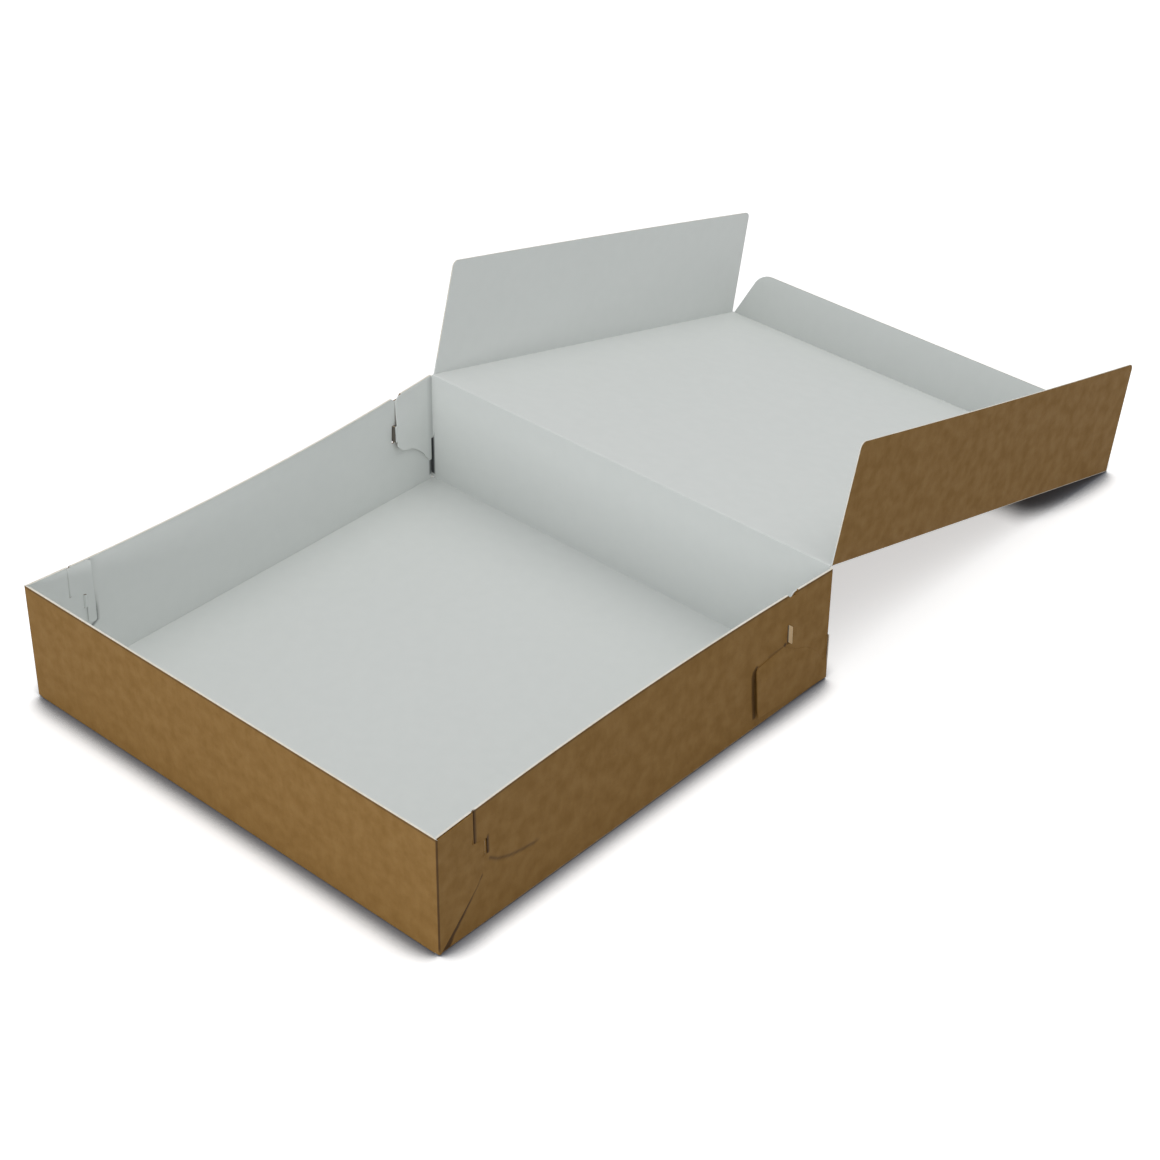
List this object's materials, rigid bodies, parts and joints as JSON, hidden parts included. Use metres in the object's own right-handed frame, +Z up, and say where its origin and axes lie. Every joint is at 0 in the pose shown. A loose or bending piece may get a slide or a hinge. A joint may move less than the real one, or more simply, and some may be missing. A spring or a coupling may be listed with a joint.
{
  "type": "cake box",
  "caption": "Square tuck-top cake box in folding board, shown open: hook-locked tray with a hinged lid that carries tuck-in side and front flaps.",
  "frame": {"origin": "centre of the tray floor's underside, on the table", "axes": "+Z up, +X to the right along the front wall, +Y from the front wall to the rear wall, over which the lid hangs open"},
  "size_m": [0.2566, 0.506, 0.1185],
  "materials": {
    "board": "matte white lined folding board, brown kraft outside"
  },
  "bodies": {
    "tray": {"tray": "board"},
    "lid": {"lid": "board"},
    "lid_left_flap": {"lid_left_flap": "board"},
    "lid_right_flap": {"lid_right_flap": "board"},
    "lid_front_flap": {"lid_front_flap": "board"}
  },
  "joints": [
    {"name": "lid_hinge", "type": "hinge", "parent": "tray", "child": "lid", "pos_m": [0, 0.1267, 0.06145], "axis": [1, 0, 0], "range_deg": [0, 194.16]},
    {"name": "left_flap_fold", "type": "hinge", "parent": "lid", "child": "lid_left_flap", "pos_m": [-0.1251, 0.2479, 0.03087], "axis": [0, 0.9696, -0.2446], "range_deg": [-90, 3]},
    {"name": "right_flap_fold", "type": "hinge", "parent": "lid", "child": "lid_right_flap", "pos_m": [0.1251, 0.2479, 0.03087], "axis": [0, -0.9696, 0.2446], "range_deg": [-90, 3]},
    {"name": "front_flap_fold", "type": "hinge", "parent": "lid", "child": "lid_front_flap", "pos_m": [0, 0.36911, 0.0003], "axis": [1, 0, 0], "range_deg": [-90, 5]}
  ]
}
